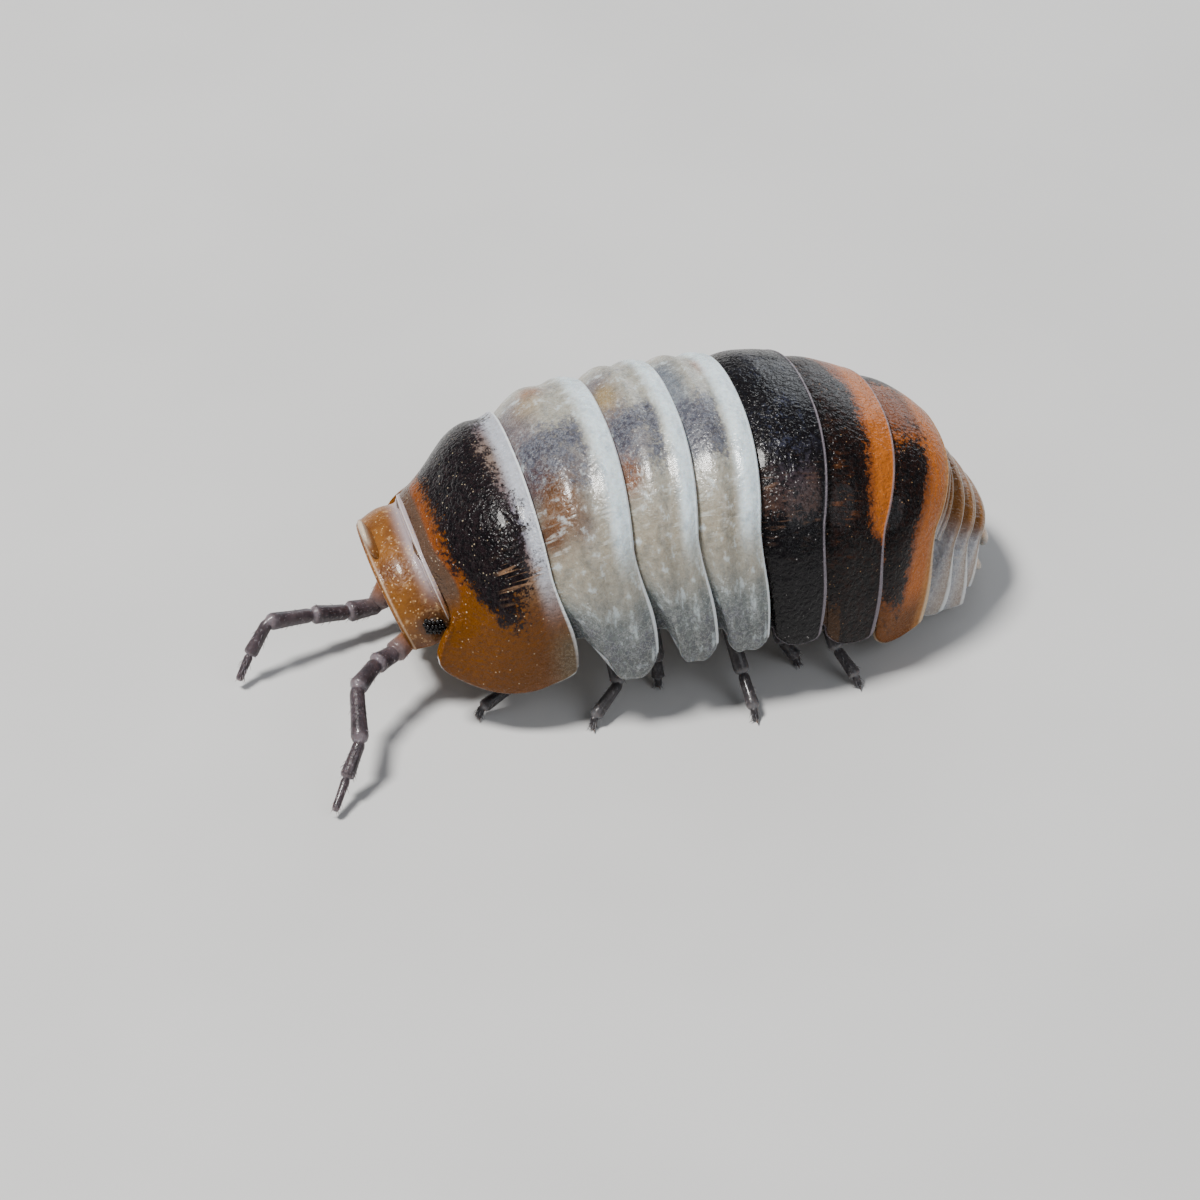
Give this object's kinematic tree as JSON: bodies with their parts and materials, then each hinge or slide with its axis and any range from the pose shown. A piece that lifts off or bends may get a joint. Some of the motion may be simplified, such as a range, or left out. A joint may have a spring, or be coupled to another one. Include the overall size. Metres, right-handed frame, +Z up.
{
  "type": "woodlouse",
  "caption": "Pill woodlouse standing with its back arched: overlapping armour plates in amber, black and milky white, bent feelers, short legs under the plates",
  "frame": {"origin": "on the floor under the middle of the animal's box, feelers included", "axes": "+Z is up, the head looks towards -Y and the tail towards +Y, and the animal's left side is +X"},
  "size_m": [0.0128, 0.0226, 0.0076],
  "materials": {
    "head_amber": "glossy",
    "plate_dark": "glossy",
    "plate_milk": "glossy",
    "plate_orange": "glossy",
    "plate_glassy": "glossy",
    "flesh": "matte",
    "eye_black": "glossy",
    "feeler_grey": "satin",
    "leg_grey": "satin"
  },
  "bodies": {
    "root": {"thorax_plate_1": "plate_dark", "thorax_plate_2": "plate_milk", "thorax_plate_3": "plate_milk", "thorax_plate_4": "plate_milk", "thorax_plate_5": "plate_dark", "thorax_plate_6": "plate_dark", "thorax_plate_7": "plate_orange", "tail_plate_1": "plate_glassy", "tail_plate_2": "plate_glassy", "tail_plate_3": "plate_glassy", "tail_plate_4": "plate_glassy", "tail_plate_5": "plate_glassy", "tail_shield": "plate_glassy", "tail_foot_left": "plate_glassy", "tail_foot_right": "plate_glassy", "belly": "flesh", "head": "head_amber", "mouthparts": "flesh", "breathing_flaps": "flesh", "eye_left": "eye_black", "feeler_left": "feeler_grey", "leg_left_1": "leg_grey", "leg_left_2": "leg_grey", "leg_left_3": "leg_grey", "leg_left_4": "leg_grey", "leg_left_5": "leg_grey", "leg_left_6": "leg_grey", "leg_left_7": "leg_grey", "eye_right": "eye_black", "feeler_right": "feeler_grey", "leg_right_1": "leg_grey", "leg_right_2": "leg_grey", "leg_right_3": "leg_grey", "leg_right_4": "leg_grey", "leg_right_5": "leg_grey", "leg_right_6": "leg_grey", "leg_right_7": "leg_grey"}
  },
  "joints": []
}
